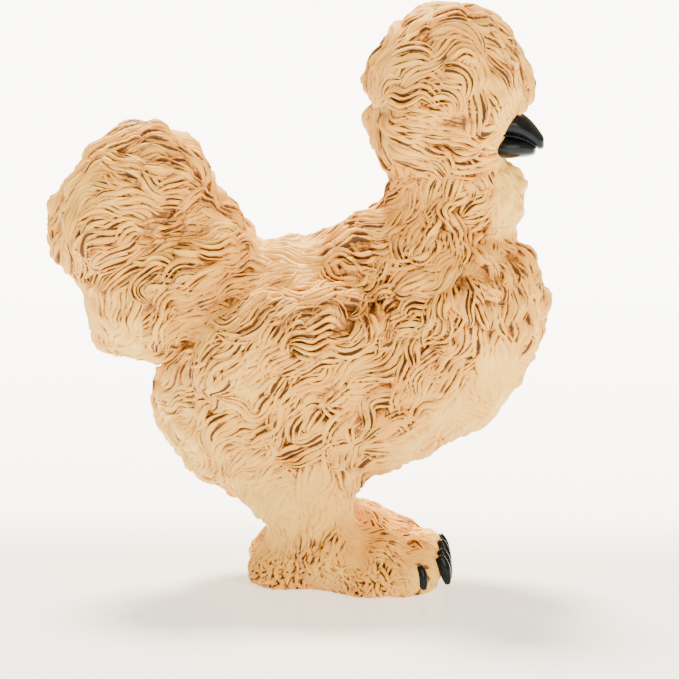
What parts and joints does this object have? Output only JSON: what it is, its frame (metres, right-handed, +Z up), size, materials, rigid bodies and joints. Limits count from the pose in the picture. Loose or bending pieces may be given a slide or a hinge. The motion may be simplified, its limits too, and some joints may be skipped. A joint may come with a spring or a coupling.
{
  "type": "silkie chicken toy figure",
  "caption": "Small moulded toy figure of a standing silkie hen with a round crest, a raised fluffy tail, sculpted curly plumage and feathered feet.",
  "frame": {"origin": "centre of the bounding box at floor level, between the soles", "axes": "+X the way the bird faces, +Y its left side, +Z up"},
  "size_m": [0.0513, 0.0289, 0.0589],
  "materials": {
    "plumage": "matte, hand painted cream with a brown wash in the grooves",
    "black": "glossy black paint"
  },
  "bodies": {
    "root": {"torso": "plumage", "neck": "plumage", "crest": "plumage", "beard": "plumage", "tail": "plumage", "wing_right": "plumage", "wing_left": "plumage", "leg_right": "plumage", "leg_left": "plumage", "foot_right": "plumage", "foot_left": "plumage", "beak": "black", "claw_right_outer": "black", "claw_right_middle": "black", "claw_right_inner": "black", "claw_left_outer": "black", "claw_left_middle": "black", "claw_left_inner": "black"}
  },
  "joints": []
}
